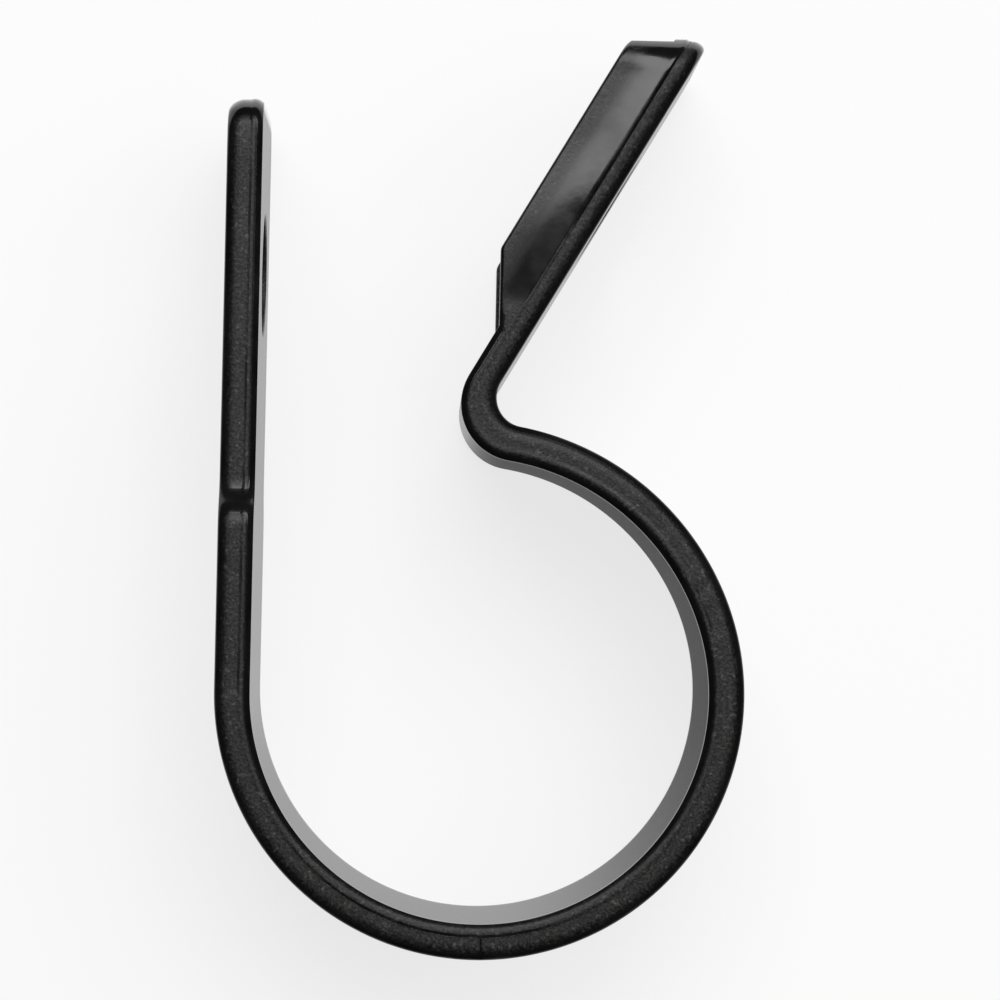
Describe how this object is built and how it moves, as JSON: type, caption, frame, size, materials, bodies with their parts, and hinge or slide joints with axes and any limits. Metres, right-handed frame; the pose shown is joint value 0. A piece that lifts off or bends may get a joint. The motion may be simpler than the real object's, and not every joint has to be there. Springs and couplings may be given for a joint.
{
  "type": "cable clamp",
  "caption": "Moulded nylon cable clamp shown open: a strap bent into a round loop between a straight tab and a leaning, channelled lug, each with a screw hole.",
  "frame": {"origin": "on the axis of the cable bore, halfway across the strap", "axes": "+Z along the cable, +Y up the fixed tab, +X from the fixed tab towards the far side of the loop; the clamp lies on its edge"},
  "size_m": [0.022, 0.0386, 0.0126],
  "materials": {
    "nylon": "moulded, satin, fine spark-eroded grain on the edges"
  },
  "bodies": {
    "root": {"clamp": "nylon"}
  },
  "joints": []
}
